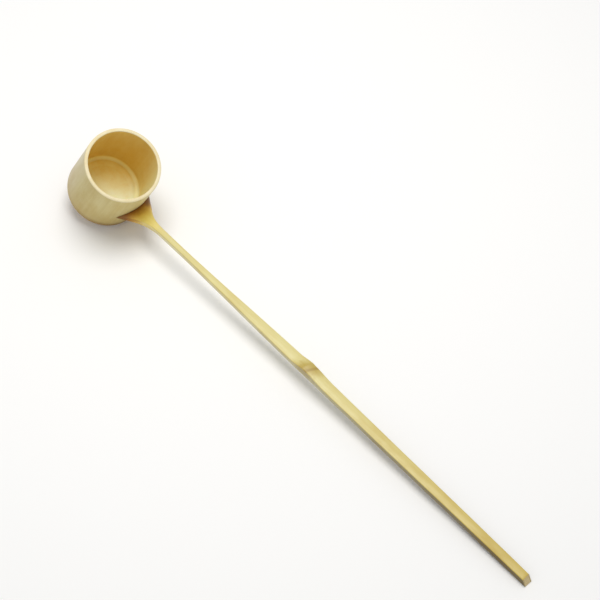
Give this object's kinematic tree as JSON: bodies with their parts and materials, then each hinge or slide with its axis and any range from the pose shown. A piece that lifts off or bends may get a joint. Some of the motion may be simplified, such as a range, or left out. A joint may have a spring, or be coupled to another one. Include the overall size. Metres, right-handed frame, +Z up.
{
  "type": "bamboo ladle",
  "caption": "Bamboo ladle: a round culm cup with a long split-bamboo handle whose crescent root is tongued through the cup's wall and wedged from inside.",
  "frame": {"origin": "on the table below the middle of the ladle as it lies at rest on the cup's lower edge and the handle's tip", "axes": "+X runs level along the handle from cup to tip, +Z is up, and +Y is level to the left seen from the cup"},
  "size_m": [0.403, 0.05, 0.0655],
  "materials": {
    "shaved_bamboo": "turned and scraped bamboo, matt",
    "bamboo_skin": "natural bamboo skin, satin",
    "bamboo_slip": "split bamboo, raw"
  },
  "bodies": {
    "root": {"cup": "shaved_bamboo", "handle": "bamboo_skin", "wedge_left": "bamboo_slip", "wedge_right": "bamboo_slip"}
  },
  "joints": []
}
